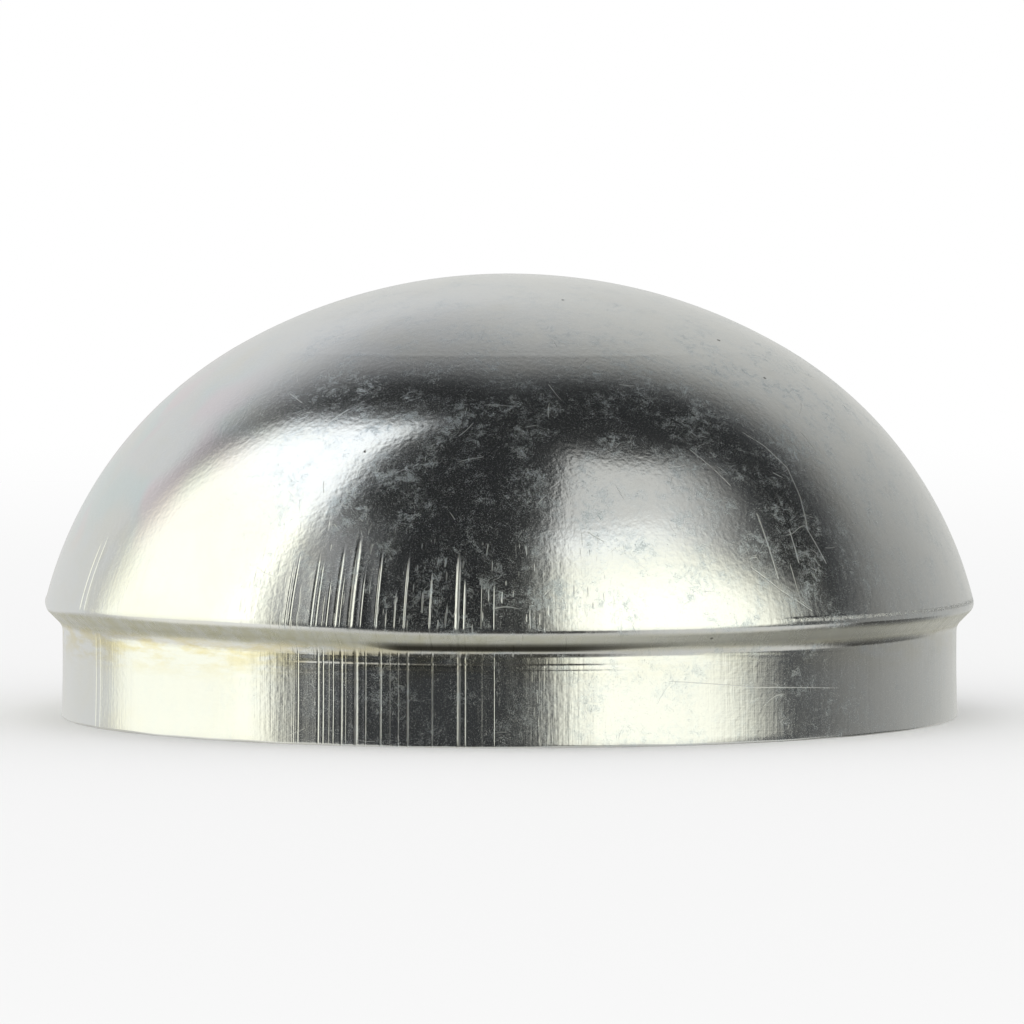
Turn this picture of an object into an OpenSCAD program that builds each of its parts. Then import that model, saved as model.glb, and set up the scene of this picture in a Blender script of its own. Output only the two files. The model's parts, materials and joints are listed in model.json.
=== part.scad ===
// Domed drive-in cap for a round steel fence post.
//
// The cap is one pressing, drawn from a disc of zinc-plated steel sheet, with the
// same thickness everywhere. The collar presses into the open top of the post, the
// bevelled shoulder stops on the post's end, and the dome sheds the rain.
//
// The origin is the centre of the rim, and +Z points up through the crown.

/* [Post] */
// Outside diameter of the post, which the shoulder matches
post_d = 76.1; // [73:0.1:78]
// Wall of the post
post_wall = 1.5; // [1.2:0.1:2.5]
// How much wider the collar is than the post's bore, for the press fit
press_fit = 0.2; // [0:0.05:0.4]

/* [Sheet] */
// Thickness of the sheet
sheet = 0.8; // [0.5:0.1:1.2]
// Inside radius of the fold at the shoulder
fold_r = 0.1; // [0.05:0.05:0.5]
// Outside radius of the corner between the shoulder and the collar
neck_r = 1.2; // [0.4:0.1:1.6]

/* [Dome] */
// Height of the crown above the widest part of the shoulder
dome_h = 26.9; // [24:0.1:29]
// Radius of the flatter crown
crown_r = 45; // [42:0.5:50]
// Diameter of the crown, where the tighter flank begins
crown_d = 44.4; // [30:0.2:50]

/* [Collar] */
// Height of the straight collar, from the rim to the corner under the shoulder
collar_h = 7; // [5:0.1:15]
// Bevel on the rim's outer edge, which starts the cap into the post
rim_bevel = 0.2; // [0.1:0.05:0.4]

/* [Hidden] */
$fn = 180;

// The outline is drawn as [distance from the axis, height], and its angles are
// measured from the vertical. Its arcs are tangent where they meet.
shoulder_r = post_d / 2;
collar_r = shoulder_r - post_wall + press_fit / 2;

// The underside of the shoulder slopes at 45 degrees
slope = 135;

// Fold at the widest part of the shoulder, and the hollow corner over the collar
edge_r = fold_r + sheet;
edge_x = shoulder_r - edge_r;
neck_x = collar_r + neck_r;
edge_z = collar_h + edge_x - neck_x + sqrt(2) * (edge_r + neck_r);
edge_centre = [edge_x, edge_z];
neck_centre = [neck_x, collar_h];

// Crown, an arc about a point on the axis
crown_centre = [0, edge_z + dome_h - crown_r];
crown_angle = asin(crown_d / 2 / crown_r);

// Flank, the one arc that is tangent to both the crown and the fold. Its centre
// lies between the crown's centre and the edge of the crown.
fold_reach = crown_r - edge_r;
to_edge = edge_centre - crown_centre;
flank_shift = (fold_reach * fold_reach - to_edge * to_edge)
    / (2 * (fold_reach - to_edge * ray(crown_angle)));
flank_r = crown_r - flank_shift;
flank_centre = crown_centre + flank_shift * ray(crown_angle);
flank_angle = atan2(edge_x - flank_centre.x, edge_z - flank_centre.y);

// Margin by which cutting shapes run past what they cut
past = 1;

// Unit vector at an angle from the vertical
function ray(angle) = [sin(angle), cos(angle)];

// Slice of a disc, from one angle to another
module slice(centre, radius, from, to) {
    translate(centre) intersection() {
        circle(r = radius);
        polygon([
            [0, 0],
            2 * radius * ray(from),
            2 * radius * ray((from + to) / 2),
            2 * radius * ray(to)
        ]);
    }
}

// Everything under the cap's outer surface, down to a given height, with the
// surface moved inwards by an inset
module under_surface(inset, bottom) {
    difference() {
        union() {
            slice(crown_centre, crown_r - inset, 0, crown_angle);
            slice(flank_centre, flank_r - inset, crown_angle, flank_angle);
            translate(edge_centre) circle(r = edge_r - inset);
            polygon([
                [0, bottom],
                [collar_r - inset, bottom],
                [collar_r - inset, collar_h],
                neck_centre - (neck_r + inset) * ray(slope),
                edge_centre + (edge_r - inset) * ray(slope),
                edge_centre,
                [0, edge_z]
            ]);
        }
        translate(neck_centre) circle(r = neck_r + inset);
        // Below the rim, where the crown's slice ends in a point
        translate([0, bottom - crown_r]) square([shoulder_r, crown_r]);
    }
}

// Half of the wall's cross-section
module wall_section() {
    difference() {
        under_surface(0, 0);
        under_surface(sheet, -past);
        translate([collar_r, rim_bevel]) polygon([
            [past, past],
            [-rim_bevel - past, -rim_bevel - past],
            [past, -rim_bevel - past]
        ]);
    }
}

// The whole cap: dome, shoulder and collar in one piece of sheet
module cap_shell() {
    color("silver") rotate_extrude() wall_section();
}

cap_shell();
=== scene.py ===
"""Domed drive-in cap for a round steel fence post: its visual model, its plating and the studio."""

import json
import math

import bmesh
import bpy
import numpy as np
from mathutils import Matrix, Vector


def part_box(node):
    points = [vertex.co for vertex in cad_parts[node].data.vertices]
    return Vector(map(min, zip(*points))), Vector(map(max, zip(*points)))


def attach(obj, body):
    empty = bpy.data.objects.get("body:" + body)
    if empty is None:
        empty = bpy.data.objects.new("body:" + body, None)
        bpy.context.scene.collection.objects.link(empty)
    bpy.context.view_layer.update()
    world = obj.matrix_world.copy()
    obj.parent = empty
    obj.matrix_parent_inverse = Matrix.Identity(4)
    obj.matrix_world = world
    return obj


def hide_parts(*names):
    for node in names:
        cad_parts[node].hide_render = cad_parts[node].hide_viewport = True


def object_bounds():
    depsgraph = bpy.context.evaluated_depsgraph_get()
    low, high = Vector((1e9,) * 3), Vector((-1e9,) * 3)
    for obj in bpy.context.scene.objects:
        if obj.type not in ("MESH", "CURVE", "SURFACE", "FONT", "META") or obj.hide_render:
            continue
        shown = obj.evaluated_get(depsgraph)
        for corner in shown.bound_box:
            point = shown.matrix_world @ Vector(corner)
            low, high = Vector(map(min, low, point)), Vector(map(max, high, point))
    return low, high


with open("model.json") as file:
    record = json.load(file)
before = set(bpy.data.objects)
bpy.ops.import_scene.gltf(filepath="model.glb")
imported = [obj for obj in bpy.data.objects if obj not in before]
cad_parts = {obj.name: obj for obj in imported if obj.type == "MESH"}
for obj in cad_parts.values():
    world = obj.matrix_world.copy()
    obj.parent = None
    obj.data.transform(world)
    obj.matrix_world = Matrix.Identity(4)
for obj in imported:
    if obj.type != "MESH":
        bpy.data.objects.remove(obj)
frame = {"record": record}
CAD_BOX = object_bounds()
SEED = 20

# ---------------------------------------------------------------- sizes, in millimetres

MM = 0.001
PIECE = "cap_shell_pressing"
MOUNTS = {mount["name"]: mount for mount in frame["record"]["mounts"]}
SEAT = MOUNTS["shoulder_seat"]
APEX_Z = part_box("cap_shell")[1][2] / MM
SHOULDER_R = SEAT["dims"]["r_mm"]
COLLAR_R = MOUNTS["collar"]["dims"]["r_mm"]
COLLAR_H = SEAT["pos_m"][2] / MM
SHEET = 0.8
FOLD_R = 0.1
NECK_R = 1.2
CROWN_R = 45.0
CROWN_D = 44.4
RIM_ROUND = 0.2
SLOPE = math.radians(135)

# What pressing and use did to the plain shape: how far the collar flares at the rim and draws
# in under the shoulder, the sheet's waves, the ring where the crown meets the flank, and the
# nicks, ridges and burrs that stand up
FLARE = 0.13
DRAWN_IN = 0.04
WAVE_DEPTH = 0.012
CROWN_RING_H = 0.006
CROWN_RING_R = 22.7
CROWN_RING_W = 0.26
NICK_H = 0.025
RIDGE_H = 0.008
BURR_H = 0.08
BURR_Z = 0.36
EDGE_LIFT = 0.32
RIM_RAGGED = 0.03
RIM_BURR = 0.05

# Steps between the mesh's rows along the wall, from the broad curves to the finest marks
CROWN_STEP = 0.8
FLANK_STEP = 0.62
COLLAR_STEP = 0.45
SLOPE_STEP = 0.3
RING_STEP = 0.16
FOLD_STEP = 0.12
NECK_STEP = 0.085
MARK_STEP = 0.08

# Columns round the cap, in degrees, and across a scratch, in halves of its width
COLUMN_STEP = 2.0
COLUMN_GAP = 0.025
SCRATCH_COLUMNS = (-2.4, -1.7, -1, -0.5, 0, 0.5, 1, 1.7, 2.4)


def ray(angle):
    """Unit vector at an angle from the vertical, as [outwards, up]."""
    return np.array([math.sin(angle), math.cos(angle)])


EDGE_R = FOLD_R + SHEET
EDGE_X = SHOULDER_R - EDGE_R
NECK_X = COLLAR_R + NECK_R
EDGE_Z = COLLAR_H + EDGE_X - NECK_X + math.sqrt(2) * (EDGE_R + NECK_R)
EDGE_CENTRE = np.array([EDGE_X, EDGE_Z])
NECK_CENTRE = np.array([NECK_X, COLLAR_H])
CROWN_CENTRE = np.array([0.0, APEX_Z - CROWN_R])
CROWN_ANGLE = math.asin(CROWN_D / 2 / CROWN_R)


def flank():
    """The arc that is tangent to the crown and to the fold: its centre, its radius and where it ends."""
    reach = CROWN_R - EDGE_R
    to_edge = EDGE_CENTRE - CROWN_CENTRE
    shift = (reach**2 - to_edge @ to_edge) / (2 * (reach - to_edge @ ray(CROWN_ANGLE)))
    centre = CROWN_CENTRE + shift * ray(CROWN_ANGLE)
    end = math.atan2(EDGE_X - centre[0], EDGE_Z - centre[1])
    return centre, CROWN_R - shift, end


FLANK_CENTRE, FLANK_R, FLANK_END = flank()

# ---------------------------------------------------------------- the wall's outline


def arc(centre, radius, start, end, step, hollow=False):
    """Points along an arc with the wall's outward normals. A hollow corner's normals face its centre."""
    count = max(2, math.ceil(abs(end - start) * abs(radius) / step))
    rows = []
    for angle in np.linspace(start, end, count + 1):
        side = -1 if hollow else 1
        rows.append((*(centre + side * radius * ray(angle)), *ray(angle)))
    return rows


def line(start, end, normal, step):
    """Points along a straight stretch of the wall."""
    count = max(1, math.ceil(float(np.linalg.norm(np.subtract(end, start))) / step))
    return [(*(start + (end - start) * t), *normal) for t in np.linspace(0, 1, count + 1)]


def surface(inset, coarse):
    """Rows of one face of the sheet, from the crown to the rim.

    inset is 0 outside and SHEET inside. coarse is 1 outside and more inside, where nothing fine shows.
    """
    right = ray(math.pi / 2)
    crown, flank = CROWN_R - inset, FLANK_R - inset
    ring, fold, neck, mark = [step * coarse**2 for step in (RING_STEP, FOLD_STEP, NECK_STEP, MARK_STEP)]
    # The ring where the crown meets the flank, the flank's end and the collar's top have fine rows
    before, after = CROWN_ANGLE - 0.2 / CROWN_R, CROWN_ANGLE + 1.3 / FLANK_R
    near_edge = FLANK_END - 0.9 / FLANK_R
    rows = arc(CROWN_CENTRE, crown, 0, before, CROWN_STEP * coarse)
    rows += arc(CROWN_CENTRE, crown, before, CROWN_ANGLE, ring)[1:]
    rows += arc(FLANK_CENTRE, flank, CROWN_ANGLE, after, ring)[1:]
    rows += arc(FLANK_CENTRE, flank, after, near_edge, FLANK_STEP * coarse)[1:]
    rows += arc(FLANK_CENTRE, flank, near_edge, FLANK_END, fold)[1:]
    rows += arc(EDGE_CENTRE, EDGE_R - inset, FLANK_END, SLOPE, FOLD_STEP)[1:]
    start = EDGE_CENTRE + (EDGE_R - inset) * ray(SLOPE)
    end = NECK_CENTRE - (NECK_R + inset) * ray(SLOPE)
    rows += line(start, end, ray(SLOPE), SLOPE_STEP)[1:]
    rows += arc(NECK_CENTRE, NECK_R + inset, SLOPE, math.pi / 2, neck, hollow=True)[1:]
    top = np.array([COLLAR_R - inset, COLLAR_H])
    lined = np.array([COLLAR_R - inset, COLLAR_H - 1.9])
    foot = np.array([COLLAR_R - inset, RIM_ROUND])
    rows += line(top, lined, right, mark)[1:]
    rows += line(lined, foot, right, COLLAR_STEP * coarse)[1:]
    return rows


def outline():
    """The whole wall as (distance from the axis, height, normal outwards, normal up), crown to crown.

    The outer face runs down to the rim, and the inner face back up to the crown.
    """
    outer = surface(0, 1)
    inner = [(r, z, -nr, -nz) for r, z, nr, nz in reversed(surface(SHEET, 3.0))]
    down, right = ray(math.pi), ray(math.pi / 2)
    rim_x = COLLAR_R - RIM_ROUND
    outer += arc(np.array([rim_x, RIM_ROUND]), RIM_ROUND, math.pi / 2, math.pi, MARK_STEP)[1:]
    inside = COLLAR_R - SHEET
    cut_edge = np.array([inside + RIM_BURR, 0.0])
    outer += line(np.array([rim_x, 0.0]), cut_edge, down, 0.2)[1:]
    outer += line(cut_edge, np.array([inside, RIM_BURR]), -right, 0.1)[1:]
    return np.array(outer), np.array(inner)


# ---------------------------------------------------------------- marks that the tools left

# Scratches that the drawing die left: where round the cap, in degrees from the front and
# growing to the right; how wide; and how high above the shoulder they reach. Their depth is
# this slope times half their width.
DIE_SCRATCHES = [
    (-64.6, 0.14, 6.5),
    (-63.3, 0.10, 7.0),
    (-27.4, 0.08, 4.6),
    (-26.8, 0.12, 5.4),
    (-24.05, 0.18, 5.6),
    (-23.4, 0.15, 5.2),
    (-22.6, 0.07, 2.6),
    (-22.05, 0.12, 3.7),
    (-20.95, 0.22, 6.4),
    (-20.4, 0.08, 4.6),
    (-19.05, 0.36, 7.3),
    (-17.8, 0.12, 4.5),
    (-15.9, 0.20, 6.2),
    (-14.7, 0.08, 1.8),
    (-13.65, 0.12, 3.4),
    (-12.45, 0.18, 6.2),
    (-9.4, 0.14, 5.0),
    (-6.15, 0.32, 6.4),
    (-5.3, 0.15, 4.3),
    (-3.3, 0.06, 5.0),
    (-1.8, 0.08, 4.0),
]
SCRATCH_SLOPE = 0.40

# Middles of the loose groups that the fainter scratches come in, round the sides and the back
SCRATCH_GROUPS = (98, 122, 148, 176, 204, 220, 250)

# Rings that the necking roll left under the shoulder: height above the rim, width, depth, and
# the middle and half the length of the stretch that it marks, in degrees
ROLL_RINGS = [
    (7.02, 0.14, 0.016, -30, 60),
    (6.80, 0.16, 0.022, -22, 14),
    (6.40, 0.26, 0.050, -8, 24),
    (5.96, 0.20, 0.022, -2, 20),
    (5.55, 0.16, 0.014, -24, 12),
    (4.72, 0.16, 0.030, 40, 11),
    (6.55, 0.20, 0.035, 118, 40),
    (5.90, 0.16, 0.020, 170, 30),
    (6.70, 0.20, 0.030, 232, 36),
]


# Scratches from handling on the cap's right, as stretches from one azimuth and height to
# another, with their widths. Heights are above the rim.
HANDLING_MARKS = [
    (37.7, 24.04, 40.4, 22.93, 0.07),
    (40.4, 22.93, 42.5, 21.24, 0.08),
    (42.5, 21.24, 42.4, 19.01, 0.07),
    (42.4, 19.01, 41.5, 16.43, 0.06),
    (41.5, 16.43, 42.9, 13.85, 0.06),
    (27.0, 22.82, 29.2, 21.56, 0.06),
    (29.2, 21.56, 31.3, 20.03, 0.08),
    (34.0, 17.85, 34.3, 15.46, 0.10),
    (34.3, 15.46, 34.6, 12.85, 0.08),
    (38.4, 16.55, 38.4, 13.98, 0.08),
    (31.1, 13.73, 34.6, 11.96, 0.07),
    (34.6, 11.96, 38.7, 10.28, 0.08),
    (20.0, 5.05, 32.0, 4.35, 0.05),
    (32.0, 4.35, 45.0, 3.95, 0.05),
]

# Where the corner under the shoulder gets painted shade, in degrees: where each
# stretch starts, is full, is full until, and ends
SHADED_CORNERS = [(-20, -13, 5, 30), (90, 108, 128, 150), (190, 204, 236, 262)]

# Stretches of the fold that have a burr, in degrees
BURRED = [(34, 82), (150, 176), (248, 282)]


def more_scratches(rng):
    """Fainter scratches round the sides and the back, in loose groups as the die leaves them."""
    found = []
    for group in SCRATCH_GROUPS:
        for _ in range(2):
            width = rng.uniform(0.07, 0.2)
            found.append((group + rng.uniform(-7, 7), width, rng.uniform(2.5, 7.5)))
    return found


def columns(scratches):
    """Angles of the mesh's columns, with extra ones across every scratch."""
    angles = list(np.arange(0, 360, COLUMN_STEP))
    for where, width, _ in scratches:
        half = math.degrees(width / 2 / COLLAR_R)
        angles += [(where + half * across) % 360 for across in SCRATCH_COLUMNS]
    kept = []
    for angle in sorted(angles):
        if not kept or angle - kept[-1] > COLUMN_GAP:
            kept.append(angle)
    return np.radians(kept)


def smoothstep(value, low, high):
    """Smoothly from 0 at low to 1 at high."""
    t = np.clip((value - low) / (high - low), 0, 1)
    return t * t * (3 - 2 * t)


def hump(across):
    """A smooth rise from 0 at a distance of 1 to 1 in the middle."""
    return np.where(across < 1, 0.5 + 0.5 * np.cos(math.pi * np.minimum(across, 1)), 0)


def turned(angle, where=0.0):
    """How far an angle in radians is from a place in degrees: -180 to 180, growing to the right."""
    return (np.degrees(angle) - where + 180) % 360 - 180


def waves(points, rng, longest, shortest, count):
    """Smooth random height between about -1 and 1, from a few waves through space."""
    total = np.zeros(points.shape[:-1])
    for _ in range(count):
        direction = rng.normal(size=3)
        direction /= np.linalg.norm(direction)
        length = rng.uniform(shortest, longest)
        total += np.sin(points @ direction * 2 * math.pi / length + rng.uniform(0, 2 * math.pi))
    return total / math.sqrt(count)


def scratch_depth(angle, height, scratches):
    """How deep the die's scratches cut at each point, in millimetres. Burrs beside them stand up."""
    depth = np.zeros(np.broadcast(angle, height).shape)
    collar = height < EDGE_Z
    for where, width, reach in scratches:
        across = np.abs(turned(angle, where)) / math.degrees(width / 2 / COLLAR_R)
        raised = np.where((across >= 1) & (across < 2.2), -0.2, 0)
        top = EDGE_Z + reach
        fade = np.where(collar, 0.65, 1 - smoothstep(height, top - 0.35 * reach, top))
        depth += SCRATCH_SLOPE * width / 2 * (hump(across) + raised) * fade
    return depth


def neck_ridge(angle, height):
    """How far the metal that the roll pushed up stands out of the corner, lower towards the cap's right."""
    degrees = turned(angle)
    middle = 7.50 - 0.75 * smoothstep(degrees, 4, 44)
    ridge = hump(np.abs(height - middle) / 0.15)
    return RIDGE_H * ridge * smoothstep(degrees, -40, -18) * (1 - smoothstep(degrees, 46, 66))


def ring_depth(angle, height):
    """How deep the necking roll's rings cut. Each marks only a stretch of the collar."""
    depth = np.zeros(np.broadcast(angle, height).shape)
    for middle, width, deepest, where, reach in ROLL_RINGS:
        groove = hump(np.abs(height - middle) / (width / 2))
        aside = np.abs(turned(angle, where))
        depth += deepest * groove * (1 - smoothstep(aside, 0.5 * reach, reach))
    return depth


def corner_wear(angle, height):
    """How dark the painted shade in the corner under the shoulder is. The shaded line is narrower where it's
    fainter.
    """
    degrees = (np.degrees(angle) + 90) % 360 - 90
    level = 0.0
    for start, full, until, end in SHADED_CORNERS:
        level = np.maximum(level, smoothstep(degrees, start, full) * (1 - smoothstep(degrees, until, end)))
    low = 7.95 - 0.45 * level
    line = smoothstep(height, low - 0.08, low + 0.08) * (1 - smoothstep(height, 7.9, 8.35))
    return (0.1 + 0.9 * level) * line


def nicks(angle, height, rng):
    """Small knocks that raise or dent the shoulder's edge."""
    knocked = np.zeros(angle.shape)
    for _ in range(46):
        where = rng.uniform(0, 2 * math.pi)
        width = rng.uniform(0.3, 1.1) / SHOULDER_R
        gap = (angle - where + math.pi) % (2 * math.pi) - math.pi
        knocked += rng.uniform(-1, 1) * np.exp(-((gap / width) ** 2))
    fold = np.exp(-(((height - EDGE_Z) / 0.5) ** 2))
    return NICK_H * knocked * fold


def burr(angle, height, rng):
    """A ragged burr along the top of the fold, on the cap's right and in a few other stretches."""
    shape = np.zeros(np.broadcast(angle, height).shape)
    crest = np.exp(-(((height - EDGE_Z - BURR_Z) / 0.14) ** 2))
    for start, end in BURRED:
        for where in rng.uniform(start, end, 40):
            shape += rng.uniform(0, 0.6) * np.exp(-((turned(angle, where) / 0.5) ** 2))
    return BURR_H * np.minimum(shape, 1.5) * crest


def marked(turn, r, z, rng):
    """How far the tools and knocks have moved the outer face inwards at each point."""
    under_shoulder = (z > COLLAR_H + 0.55) & (z < EDGE_Z + 0.1)
    cut = np.where(under_shoulder, 0, scratch_depth(turn, z, SCRATCHES) * smoothstep(z, 0.0, 0.3))
    cut += ring_depth(turn, z) - neck_ridge(turn, z)
    ring = (r - CROWN_RING_R) / CROWN_RING_W
    cut -= CROWN_RING_H * np.exp(-(ring**2)) * (z > EDGE_Z + 3)
    cut -= nicks(turn, z, rng)
    return cut - burr(turn, z, rng)


def edge_lift(turn, z):
    """How far the shoulder's edge, which isn't quite level, rises on the cap's left."""
    left = -turned(turn)
    lift = EDGE_LIFT * smoothstep(left, 8, 42) * (1 - smoothstep(left, 56, 84))
    return lift * smoothstep(z, 6.6, 7.9) * (1 - smoothstep(z, 10.0, 15.0))


def shaped(rows, angles, outside):
    """The points of one face of the sheet, row by row, with everything that bends it."""
    r, z, nr, nz = (rows[:, i, None] for i in range(4))
    turn = angles[None, :]
    points = np.stack([r * np.sin(turn), -r * np.cos(turn), z + 0 * turn], axis=-1)
    normals = np.stack([nr * np.sin(turn), -nr * np.cos(turn), nz + 0 * turn], axis=-1)

    # Both faces move together where the sheet is bent, so that its thickness stays
    sheet_rng = np.random.default_rng(SEED)
    bend = WAVE_DEPTH * waves(points, sheet_rng, 26, 9, 14) * smoothstep(z, 0.3, 2.5)
    points = points + normals * (bend * (1 if outside else -1))[..., None]
    flare = FLARE * (1 - np.clip(z / COLLAR_H, 0, 1)) ** 2
    flare = flare - DRAWN_IN * smoothstep(z, COLLAR_H + 1, 3)
    flare = np.where(z < EDGE_Z - 0.3, flare, 0)
    points[..., 0] += np.sin(turn) * flare
    points[..., 1] -= np.cos(turn) * flare

    if outside:
        cut = marked(turn, r, z, np.random.default_rng(SEED + 2))
        points = points - normals * cut[..., None]
    points[..., 2] += edge_lift(turn, z)
    ragged = RIM_RAGGED * waves(points, sheet_rng, 9, 2.5, 10) * (1 - smoothstep(z, 0.0, 0.6))
    points[..., 2] += np.maximum(ragged, -z)
    return points


SCRATCHES = DIE_SCRATCHES + more_scratches(np.random.default_rng(SEED + 1))
SCORED_DEPTH = 0.02
POLES = 2


def paint(mesh, name, first, values):
    """Gives the mesh's points a number by name, from a first point on. The others get 0."""
    layer = mesh.attributes.new(name, "FLOAT", "POINT")
    numbers = np.zeros(len(mesh.vertices))
    last = len(numbers) if np.isscalar(values) else first + len(values)
    numbers[first:last] = values
    layer.data.foreach_set("value", numbers)


def paint_wear_and_shade(mesh, rows, angles):
    """Gives the mesh what the plating's look depends on.

    That is the inner face of the sheet, the underside of the shoulder, how deep the die has
    scored, and how dark the painted shade in the corner is.
    """
    turn, height = angles[None, :], rows[:, 1, None]
    sloped = smoothstep(-rows[:, 3], 0.3, 0.6) * (rows[:, 1] > COLLAR_H)
    deep = np.clip(scratch_depth(turn, height, SCRATCHES) / SCORED_DEPTH, 0, 1)
    paint(mesh, "inner_face", POLES + len(rows) * len(angles), 1.0)
    paint(mesh, "underside", POLES, np.repeat(sloped, len(angles)))
    paint(mesh, "scored", POLES, deep.ravel())
    # The painted shade in the corner under the shoulder
    paint(mesh, "corner_wear", POLES, corner_wear(turn, height).ravel())


def build_cap():
    """The cap as one closed mesh: a pole at the crown outside, rings down to the rim, and back up inside."""
    angles = columns(SCRATCHES)
    outer, inner = outline()
    outside = shaped(outer[1:], angles, True)
    inside = shaped(inner[:-1], angles, False)
    rings = np.concatenate([outside, inside])
    count = len(angles)
    poles = np.array([[0, 0, APEX_Z], [0, 0, APEX_Z - SHEET]])
    points = np.concatenate([poles, rings.reshape(-1, 3)]) * MM

    # The first two points are the poles, and the rings follow, each with one point per column
    faces = []
    ring_starts = [POLES + k * count for k in range(len(rings))]
    first, last = ring_starts[0], ring_starts[-1]
    for i in range(count):
        j = (i + 1) % count
        faces.append((0, first + i, first + j))
        faces.append((1, last + j, last + i))
        for upper, lower in zip(ring_starts, ring_starts[1:]):
            faces.append((upper + i, lower + i, lower + j, upper + j))
    mesh = bpy.data.meshes.new(PIECE)
    mesh.from_pydata(points.tolist(), [], faces)
    mesh.update()
    mesh.shade_smooth()
    paint_wear_and_shade(mesh, outer[1:], angles)
    cap = bpy.data.objects.new(PIECE, mesh)
    bpy.context.scene.collection.objects.link(cap)
    return cap


# ---------------------------------------------------------------- node trees


class Nodes:
    """Adds linked nodes to a tree, so that a material reads as a list of steps."""

    def __init__(self, tree):
        self.tree = tree
        tree.nodes.clear()

    def add(self, kind, inputs=(), **settings):
        node = self.tree.nodes.new(kind)
        for name, value in settings.items():
            setattr(node, name, value)
        for key, value in dict(inputs).items():
            if isinstance(value, bpy.types.NodeSocket):
                self.tree.links.new(value, node.inputs[key])
            else:
                node.inputs[key].default_value = value
        return node

    def math(self, operation, *values):
        return self.add("ShaderNodeMath", dict(enumerate(values)), operation=operation).outputs[0]

    def product(self, first, *others):
        for other in others:
            first = self.math("MULTIPLY", first, other)
        return first

    def total(self, first, *others):
        for other in others:
            first = self.math("ADD", first, other)
        return first

    def rest(self, value):
        """What is left of 1 without a value."""
        return self.math("SUBTRACT", 1.0, value)

    def beyond(self, value, limit):
        """How far a value is past a limit, or 0."""
        return self.math("MAXIMUM", self.math("SUBTRACT", value, limit), 0.0)

    def step(self, value, low, high, start=0.0, end=1.0):
        """Smoothly from start at low to end at high."""
        inputs = {"Value": value, "From Min": low, "From Max": high, "To Min": start, "To Max": end}
        return self.add("ShaderNodeMapRange", inputs, interpolation_type="SMOOTHSTEP").outputs[0]

    def vector(self, operation, first, second):
        return self.add("ShaderNodeVectorMath", {0: first, 1: second}, operation=operation).outputs[0]

    def distance(self, first, second):
        return self.add("ShaderNodeVectorMath", {0: first, 1: second}, operation="DISTANCE").outputs["Value"]

    def normalized(self, vector):
        return self.add("ShaderNodeVectorMath", {0: vector}, operation="NORMALIZE").outputs[0]

    def dot(self, first, second):
        inputs = {0: first, 1: second}
        return self.add("ShaderNodeVectorMath", inputs, operation="DOT_PRODUCT").outputs["Value"]

    def join(self, x, y, z):
        return self.add("ShaderNodeCombineXYZ", {0: x, 1: y, 2: z}).outputs[0]

    def split(self, vector):
        return self.add("ShaderNodeSeparateXYZ", {0: vector}).outputs

    def noise(self, vector, scale, detail=2.0, roughness=0.5, distortion=0.0):
        inputs = {"Vector": vector, "Scale": scale, "Detail": detail}
        inputs |= {"Roughness": roughness, "Distortion": distortion}
        return self.add("ShaderNodeTexNoise", inputs).outputs["Fac"]

    def attribute(self, name):
        return self.add("ShaderNodeAttribute", attribute_name=name).outputs["Fac"]

    def blend(self, factor, first, second):
        node = self.add("ShaderNodeMix", data_type="RGBA")
        for key, value in zip((0, 6, 7), (factor, first, second)):
            if isinstance(value, bpy.types.NodeSocket):
                self.tree.links.new(value, node.inputs[key])
            else:
                node.inputs[key].default_value = value
        return node.outputs[2]


# ---------------------------------------------------------------- zinc-plated steel

CLEAN = (0.80, 0.812, 0.81, 1.0)
YELLOW = (0.80, 0.765, 0.60, 1.0)
STAIN = (0.52, 0.51, 0.47, 1.0)
HAZE = (0.70, 0.77, 0.83, 1.0)
# Painted reflection: the shoulder's downward underside tinted darker and beige, like the table it reflects
UNDERSIDE = (0.69, 0.695, 0.63, 1.0)
DULLED = (0.58, 0.56, 0.36, 1.0)
OLIVE = (0.72, 0.64, 0.36, 1.0)
# Painted shade: near black, for the corner under the shoulder
SHADE_DARK = (0.03, 0.028, 0.022, 1.0)
PIT = (0.08, 0.075, 0.07, 1.0)
INNER_FACE = (0.55, 0.56, 0.56, 1.0)
FILM_PINK = (0.86, 0.70, 0.76, 1.0)
FILM_TEAL = (0.68, 0.82, 0.84, 1.0)


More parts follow.
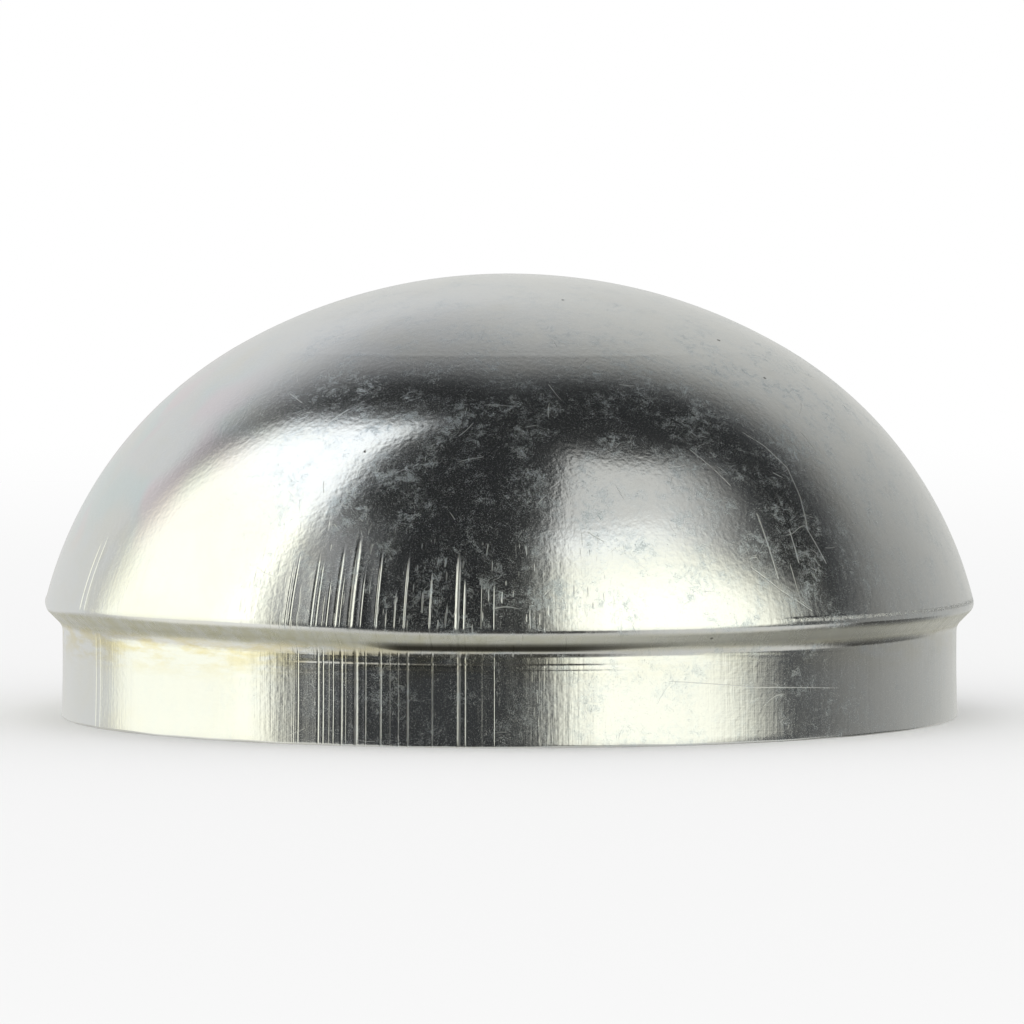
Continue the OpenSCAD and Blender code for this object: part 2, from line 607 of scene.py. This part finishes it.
class Place:
    """Where a point of the surface is, in millimetres, and the masks that follow from it."""

    def __init__(self, n):
        object_space = n.add("ShaderNodeTexCoord").outputs["Object"]
        self.points = n.vector("MULTIPLY", object_space, (1000.0, 1000.0, 1000.0))
        self.x, self.y, self.z = n.split(self.points)
        self.radius = n.math("SQRT", n.total(n.product(self.x, self.x), n.product(self.y, self.y), 0.01))
        self.around_x = n.product(n.math("DIVIDE", self.x, self.radius), SHOULDER_R)
        self.around_y = n.product(n.math("DIVIDE", self.y, self.radius), SHOULDER_R)
        self.normal = n.add("ShaderNodeTexCoord").outputs["Normal"]
        self.inside = n.attribute("inner_face")
        self.under = n.attribute("underside")
        self.score = n.attribute("scored")
        # Painted shade in the corner under the shoulder, read from the mesh
        self.corner_shade = n.attribute("corner_wear")
        self.collar = n.step(self.z, COLLAR_H + 0.3, COLLAR_H - 0.2)
        # Low on the dome and on the collar, and the corner between them
        self.rubbed = n.step(self.z, 22.0, 10.0)
        self.neck = n.product(n.step(self.z, 4.2, 7.2), n.step(self.z, 8.2, 7.6))
        # The right has the coarser grain, the left the film's tints, and the far left little haze
        self.grained = n.product(n.step(self.x, -6.0, 6.0), n.step(self.z, 12.0, 17.0, 0.3, 1.0))
        self.left = n.step(self.x, 14.0, -24.0, 0.2, 1.0)
        self.handled = n.step(self.x, -25.0, -11.0, 0.22, 1.0)
        # Less haze on the crown, on the far right and on the collar
        self.hazed = n.product(
            n.step(self.z, 33.0, 28.0, 0.5, 1.0),
            n.step(self.x, 24.0, 32.0, 1.0, 0.5),
            n.step(self.z, COLLAR_H - 0.2, COLLAR_H + 0.3, 0.7, 1.0),
        )


def strokes(n, place, cell, width, length, share, shift):
    """Thin scratches that lie any way along the surface, one in each of a share of random cells."""
    wander = n.add("ShaderNodeTexNoise", {"Vector": place.points, "Scale": 0.9 / cell, "Detail": 0.0})
    bend = n.vector("MULTIPLY", wander.outputs["Color"], (0.5 * cell, 0.5 * cell, 0.5 * cell))
    spot = n.vector("ADD", n.vector("ADD", place.points, bend), (shift, 2.0 * shift, 0.0))
    cells = n.add("ShaderNodeTexVoronoi", {"Vector": spot, "Scale": 1.0 / cell}).outputs
    offset = n.vector("SUBTRACT", spot, cells["Position"])
    random = n.vector("SUBTRACT", cells["Color"], (0.5, 0.5, 0.5))
    across = n.normalized(n.vector("CROSS_PRODUCT", place.normal, random))
    along = n.vector("CROSS_PRODUCT", place.normal, across)
    aside = n.math("ABSOLUTE", n.dot(offset, across))
    ahead = n.math("ABSOLUTE", n.dot(offset, along))
    chance = n.math("FRACT", n.product(n.dot(cells["Color"], (1.0, 1.0, 1.0)), 5.0))
    drawn = n.math("LESS_THAN", chance, share)
    return n.product(n.step(aside, width, 0.3 * width), n.step(ahead, length, 0.4 * length), drawn)


def on_side(azimuth, height):
    """The point of the dome's flank or of the collar at an azimuth in degrees and a height."""
    out = COLLAR_R
    if height > EDGE_Z:
        out = FLANK_CENTRE[0] + math.sqrt(FLANK_R**2 - (height - FLANK_CENTRE[1]) ** 2)
    turn = math.radians(azimuth)
    return Vector((out * math.sin(turn), -out * math.cos(turn), height))


def handling_mark(n, place, azimuth, height, end_azimuth, end_height, width):
    """One straight scratch between two points of the dome."""
    start, end = on_side(azimuth, height), on_side(end_azimuth, end_height)
    middle = (start + end) / 2
    reach = (end - start).length / 2
    across = (end - start).cross(middle).normalized()
    aside = n.math("ABSOLUTE", n.math("SUBTRACT", n.dot(place.points, tuple(across)), across.dot(middle)))
    away = n.distance(place.points, tuple(middle))
    return n.product(n.step(aside, width, 0.3 * width), n.step(away, 1.1 * reach, 0.95 * reach))


def handling(n, place, cloud):
    """Scratches from handling: a few long ones, more short ones where the cap has rubbed."""
    long = strokes(n, place, 2.6, 0.055, 1.5, 0.13, 0.0)
    short = n.product(strokes(n, place, 1.1, 0.045, 0.7, 0.26, 7.0), cloud)
    tiny = n.product(strokes(n, place, 0.6, 0.040, 0.35, 0.20, 13.0), cloud)
    random = n.total(n.product(long, 0.9), n.product(short, 0.8), n.product(tiny, 0.6))
    placed = 0.0
    for mark in HANDLING_MARKS:
        placed = n.total(placed, handling_mark(n, place, *mark))
    return n.math("MINIMUM", n.total(n.product(random, place.handled, place.hazed), placed), 1.0)


def dashes(n, place):
    """Short fine strokes along the draw, low on the dome and a little on the collar."""
    stroke = n.noise(n.join(place.around_x, place.around_y, n.product(place.z, 0.16)), 4.6, 0.0, 0.5)
    where = n.product(place.rubbed, n.rest(n.product(place.collar, 0.7)))
    return n.product(n.step(stroke, 0.71, 0.79), where, place.handled, n.step(place.x, 14.0, 2.0, 0.12, 1.0))


def torn_burr(n, place):
    """The burr along the fold on the cap's right, torn into teeth."""
    from_crest = n.math("ABSOLUTE", n.math("SUBTRACT", place.z, EDGE_Z + BURR_Z - 0.03))
    teeth = n.step(n.noise(place.points, 2.2, 4.0, 0.75), 0.40, 0.66)
    return n.product(n.step(from_crest, 0.24, 0.02), teeth, n.step(place.x, 20.0, 26.0))


class Marks:
    """How strongly each kind of wear marks the plating at a point."""

    def __init__(self, n, place):
        cloud = n.step(n.noise(place.points, 0.30, 5.0, 0.68), 0.38, 0.64)
        fuzz = n.step(n.noise(place.points, 1.4, 4.0, 0.65, 0.6), 0.40, 0.64)
        # Haze: sharp specks, denser where the cap has rubbed
        self.haze = n.product(cloud, n.total(0.22, fuzz), place.handled, place.hazed)
        specks = n.total(n.noise(place.points, 22.0, 0.0), n.product(self.haze, 0.26))
        self.speck = n.step(specks, 0.70, 0.86)
        self.hair = handling(n, place, cloud)
        self.dash = dashes(n, place)
        self.torn = torn_burr(n, place)
        cells = n.add("ShaderNodeTexVoronoi", {"Vector": place.points, "Scale": 0.17})
        self.pit = n.step(cells.outputs["Distance"], 0.034, 0.02)


def relief(n, place, marks, drawn):
    """Height of the plating's grain, of the lines along the draw and the roll, and of the marks."""
    grain = n.noise(place.points, 2.4, 1.0, 0.5)
    fine_grain = n.product(n.noise(place.points, 3.4, 2.0, 0.6), place.grained)
    rolled = n.join(n.product(place.around_x, 0.03), n.product(place.around_y, 0.03), place.z)
    lined = n.total(n.product(place.rubbed, 0.006), n.product(place.collar, 0.0045))
    return n.total(
        n.product(grain, 0.009),
        n.product(fine_grain, 0.006),
        n.product(n.noise(drawn, 2.6, 3.0, 0.65), lined),
        n.product(n.noise(rolled, 5.0, 3.0, 0.6), place.collar, 0.004),
        n.product(marks.hair, -0.003),
        n.product(marks.dash, -0.006),
        n.product(marks.pit, -0.03),
        n.product(marks.torn, 0.05),
    )


def roughness(n, place, marks, drawn):
    """Satin plating, rougher in every mark, under the shoulder and inside."""
    return n.total(
        0.14,
        n.product(marks.speck, 0.42),
        n.product(marks.hair, 0.27),
        n.product(marks.dash, 0.27),
        n.product(place.score, 0.22),
        n.product(marks.torn, 0.22),
        n.product(n.step(n.noise(drawn, 0.6, 2.0, 0.5), 0.45, 0.7), place.rubbed, 0.05),
        n.product(place.under, 0.13),
        n.product(place.inside, 0.18),
    )


def plating_colour(n, place, marks):
    """The plating's tint, its stains and haze, then the shoulder's underside with its painted table
    reflection, the painted shade in its corner, and the inside.
    """
    points = place.points
    cloudy = n.step(n.noise(points, 0.135, 3.0, 0.6, 0.5), 0.42, 0.70)
    colour = n.blend(n.product(cloudy, place.left, 0.22), CLEAN, YELLOW)
    stained = n.product(n.step(n.noise(points, 0.24, 4.0, 0.62), 0.52, 0.74), place.handled, 0.13)
    colour = n.blend(stained, colour, STAIN)
    colour = n.blend(n.product(marks.haze, 0.6), colour, HAZE)
    colour = n.blend(n.product(shimmer(n, place), 0.45), colour, shimmer_colour(n, place))
    # Painted reflection of the table: the shoulder's downward underside tinted darker and beige
    colour = n.blend(n.product(place.under, 0.85), colour, UNDERSIDE)
    dulled = n.product(place.under, place.left, n.step(n.noise(points, 0.9, 4.0, 0.6), 0.30, 0.70), 0.55)
    colour = n.blend(dulled, colour, DULLED)
    streaks = n.noise(n.vector("MULTIPLY", points, (0.35, 0.35, 1.5)), 0.7, 4.0, 0.6)
    tarnish = n.product(place.neck, place.left, n.step(streaks, 0.36, 0.62), 0.68)
    colour = n.blend(tarnish, colour, OLIVE)
    # Painted shade: the corner under the shoulder is painted near black, which all but removes the metal's
    # reflection there
    colour = n.blend(n.product(place.corner_shade, 0.97), colour, SHADE_DARK)
    colour = n.blend(n.product(marks.pit, 0.8), colour, PIT)
    return n.blend(n.product(place.inside, 0.35), colour, INNER_FACE)


def zinc():
    """Bright zinc plating: satin, hazed by handling, drawn lines up its side, faint stains."""
    material = bpy.data.materials.new("zinc_plated_steel")
    material.use_nodes = True
    n = Nodes(material.node_tree)
    place = Place(n)
    marks = Marks(n, place)
    drawn = n.join(place.around_x, place.around_y, n.product(place.z, 0.04))
    height = relief(n, place, marks, drawn)
    bump = n.add("ShaderNodeBump", {"Strength": 1.0, "Distance": MM, "Height": height})
    plating = {
        "Base Color": plating_colour(n, place, marks),
        "Metallic": 1.0,
        "Roughness": roughness(n, place, marks, drawn),
        "Normal": bump.outputs[0],
    }
    shader = n.add("ShaderNodeBsdfPrincipled", plating)
    n.add("ShaderNodeOutputMaterial", {"Surface": shader.outputs[0]})
    return material


def shimmer(n, place):
    """Where the passivation film shows its colours: high on the left of the dome."""
    side = n.product(n.step(place.x, -17.0, -27.0), n.step(place.z, 12.0, 19.0))
    return n.product(side, n.step(n.noise(place.points, 0.12, 1.0), 0.36, 0.56))


def shimmer_colour(n, place):
    """Pink to blue-green, as a thin film's colour changes with its thickness."""
    thickness = n.step(n.noise(place.points, 0.14, 1.0), 0.40, 0.60)
    return n.blend(thickness, FILM_PINK, FILM_TEAL)


# ---------------------------------------------------------------- studio

FLOOR_R = 3.0
FLOOR_FADE = (0.10, 0.6)
PAPER = (0.93, 0.93, 0.93, 1.0)
WHITE = (1.0, 1.0, 1.0, 1.0)
BOX_TINT = (1.0, 1.0, 0.86, 1.0)
BOX_TOP_TINT = (0.96, 0.99, 1.0, 1.0)
WALL_LOW_TINT = (0.99, 0.995, 0.975, 1.0)
WALL_HIGH_TINT = (0.975, 0.985, 1.0, 1.0)
WALL_RIGHT_TINT = (1.0, 1.0, 0.955, 1.0)
DARK_TINT = (0.92, 0.97, 1.0, 1.0)
TABLE_TINT = (1.0, 0.99, 0.93, 1.0)
DARK_ROOM = 0.026
BACKDROP_FALL = 0.24


def left_box(n, azimuth, height):
    """A soft box whose top edge is a peak, and the light that spills past its right edge."""
    from_peak = n.math("ABSOLUTE", n.math("ADD", azimuth, 93.0))
    top = n.math("SUBTRACT", 79.5, n.product(from_peak, 0.83))
    above = n.math("SUBTRACT", height, top)
    past = n.math("SUBTRACT", azimuth, n.step(height, 6.0, 36.0, -61.5, -67.0))
    box = n.product(n.step(azimuth, -129.0, -113.0), n.step(past, 6.5, -6.5), n.step(above, 5.0, -8.0))
    beside = n.product(n.step(azimuth, -77.0, -73.0), n.step(azimuth, -33.0, -59.0))
    spill = n.product(beside, n.step(height, 56.0, 40.0), n.step(height, 6.0, 26.0, 0.10, 0.31))
    return box, spill


def right_box(n, azimuth, height):
    """A soft box whose right edge leans, and a dimmer tier that reaches higher behind it."""
    higher, lower = n.beyond(height, 24.0), n.beyond(10.0, height)
    leaned = n.total(azimuth, n.product(higher, 0.9), n.product(lower, 0.8))
    sides = n.product(n.step(azimuth, 5.0, 20.0), n.step(leaned, 87.0, 61.0))
    fall = n.total(n.step(height, 53.5, 47.5, 0.0, 0.4), n.step(height, 44.0, 27.0, 0.0, 0.6))
    box = n.product(sides, fall)
    to_right, to_left = n.beyond(azimuth, 45.0), n.beyond(45.0, azimuth)
    drop = n.total(n.product(to_right, 0.35), n.product(to_left, to_left, 0.022))
    over = n.total(height, drop, -74.5)
    slanted = n.total(azimuth, n.product(height, -0.8), 40.0)
    tier = n.product(n.step(azimuth, 8.0, 22.0), n.step(slanted, 99.0, 53.0), n.step(over, 3.0, -5.5))
    return box, n.product(tier, n.step(height, 24.0, 46.0, 0.1, 0.65))


def back_wall(n, azimuth, height, on_right):
    """A pale wall behind, which darkens to the right and fades out upwards, sooner towards its ends."""
    from_back = n.math("SUBTRACT", 180.0, n.math("ABSOLUTE", azimuth))
    drop = n.step(azimuth, -20.0, 20.0, 0.0095, 0.0070)
    top = n.math("SUBTRACT", 66.5, n.product(from_back, from_back, drop))
    over = n.math("SUBTRACT", height, top)
    left_level = n.product(n.step(from_back, 68.0, 46.0), n.step(height, 30.0, 50.0, 0.70, 0.46))
    right_level = n.beyond(0.67, n.product(from_back, 0.0061))
    level = n.total(n.product(left_level, n.rest(on_right)), n.product(right_level, on_right))
    return n.product(level, n.step(over, 16.0, -20.0), n.step(height, 30.0, 52.0, 1.0, 0.92))


def table(n, x, y):
    """The table as the metal's underside sees it: pale close by and behind, dark in front."""
    side = n.product(n.math("MAXIMUM", x, 0.0), n.step(y, 0.9, 0.6), n.step(y, -0.1, 0.2))
    lit = n.product(n.step(x, -0.60, -0.85), n.step(y, 0.55, 0.25), 0.3)
    lit_right = n.product(n.step(x, 0.40, 0.62), n.step(y, 0.2, -0.1), 0.07)
    pale = n.total(n.math("SUBTRACT", 0.60, n.product(side, 0.60)), lit, lit_right)
    front = n.product(n.step(y, -0.64, -0.84), n.step(x, -0.92, -0.55), n.step(x, 0.55, 0.30))
    return n.total(n.product(pale, n.rest(front)), n.product(front, 0.05))


def light_in_metal(n, x, y, z):
    """The tint and strength of the light that the metal sees in a direction: boxes, walls and table."""
    azimuth = n.math("DEGREES", n.math("ARCTAN2", x, n.product(y, -1.0)))
    height = n.math("DEGREES", n.math("ARCSINE", z))
    on_right = n.step(x, -0.3, 0.3)
    left, spill = left_box(n, azimuth, height)
    right, upper = right_box(n, azimuth, height)
    boxes = n.product(n.total(left, right), n.step(height, -10.0, 22.0, 1.16, 1.34))
    glow = n.product(n.step(height, 24.0, -4.0), n.step(azimuth, 40.0, 90.0, 0.02, 0.04))
    room = n.total(spill, upper, back_wall(n, azimuth, height, on_right), glow, DARK_ROOM)
    light = n.total(boxes, room)
    below = n.step(height, -10.0, -17.0)

    box_tint = n.blend(n.step(height, 54.0, 36.0), BOX_TOP_TINT, BOX_TINT)
    wall_tint = n.blend(n.step(height, 10.0, 45.0), WALL_LOW_TINT, WALL_HIGH_TINT)
    wall_tint = n.blend(on_right, wall_tint, WALL_RIGHT_TINT)
    tint = n.blend(n.step(boxes, 0.0, 0.6), wall_tint, box_tint)
    tint = n.blend(n.step(light, 0.20, 0.03), tint, DARK_TINT)
    tint = n.blend(below, tint, TABLE_TINT)
    return tint, n.total(n.product(light, n.rest(below)), n.product(below, table(n, x, y)))


def studio():
    """A dark room with two soft boxes in front and a pale wall behind, seen only in the metal.

    Azimuth is 0 towards the camera and grows to the right; both angles are in degrees.
    Everything but the metal sees even, pale light. The backdrop is white behind the cap and
    a little darker elsewhere, so that a bright crown stands out.
    """
    world = bpy.data.worlds.new("studio")
    bpy.context.scene.world = world
    world.use_nodes = True
    world.cycles.sampling_method = "NONE"
    n = Nodes(world.node_tree)
    x, y, z = n.split(n.add("ShaderNodeTexCoord").outputs["Generated"])
    tint, light = light_in_metal(n, x, y, z)
    in_metal = n.add("ShaderNodeBackground", {"Color": tint, "Strength": light})

    rays = n.add("ShaderNodeLightPath").outputs
    backdrop = n.rest(n.product(n.step(y, 0.985, 0.94), rays["Is Camera Ray"], BACKDROP_FALL))
    elsewhere = n.add("ShaderNodeBackground", {"Color": WHITE, "Strength": backdrop})
    shaders = {0: rays["Is Glossy Ray"], 1: elsewhere.outputs[0], 2: in_metal.outputs[0]}
    mixed = n.add("ShaderNodeMixShader", shaders)
    n.add("ShaderNodeOutputWorld", {"Surface": mixed.outputs[0]})


def floor():
    """Plain pale paper, which thins out into the pale surroundings far from the object."""
    mesh = bpy.data.meshes.new("paper_floor")
    shape = bmesh.new()
    bmesh.ops.create_circle(shape, cap_ends=True, segments=96, radius=FLOOR_R)
    shape.to_mesh(mesh)
    shape.free()
    paper = bpy.data.objects.new("paper_floor", mesh)
    paper.location.z = CAD_BOX[0][2]
    bpy.context.scene.collection.objects.link(paper)
    material = bpy.data.materials.new("paper")
    material.use_nodes = True
    n = Nodes(material.node_tree)
    points = n.add("ShaderNodeTexCoord").outputs["Object"]
    away = n.add("ShaderNodeVectorMath", {0: points}, operation="LENGTH").outputs["Value"]
    matt = n.add("ShaderNodeBsdfDiffuse", {"Color": PAPER})
    clear = n.add("ShaderNodeBsdfTransparent")
    thin = n.step(away, *FLOOR_FADE)
    mixed = n.add("ShaderNodeMixShader", {0: thin, 1: matt.outputs[0], 2: clear.outputs[0]})
    n.add("ShaderNodeOutputMaterial", {"Surface": mixed.outputs[0]})
    mesh.materials.append(material)
    paper.visible_glossy = False


EYE = (0.0, -0.655, 0.048)
TARGET = Vector((0.0002, 0.0, 0.0166))
LENS = 281.0
SENSOR = 36.0


def camera():
    """A long lens a little above the cap, aimed at the cap's middle."""
    data = bpy.data.cameras.new("camera")
    data.lens = LENS
    data.sensor_width = SENSOR
    data.clip_start = 0.01
    eye = bpy.data.objects.new("camera", data)
    eye.location = EYE
    eye.rotation_euler = (TARGET - eye.location).to_track_quat("-Z", "Y").to_euler()
    bpy.context.scene.collection.objects.link(eye)
    bpy.context.scene.camera = eye


camera()
studio()
floor()
cap = build_cap()
cap.data.materials.append(zinc())
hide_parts("cap_shell")
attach(cap, "root")
bpy.context.scene.view_settings.view_transform = "Standard"
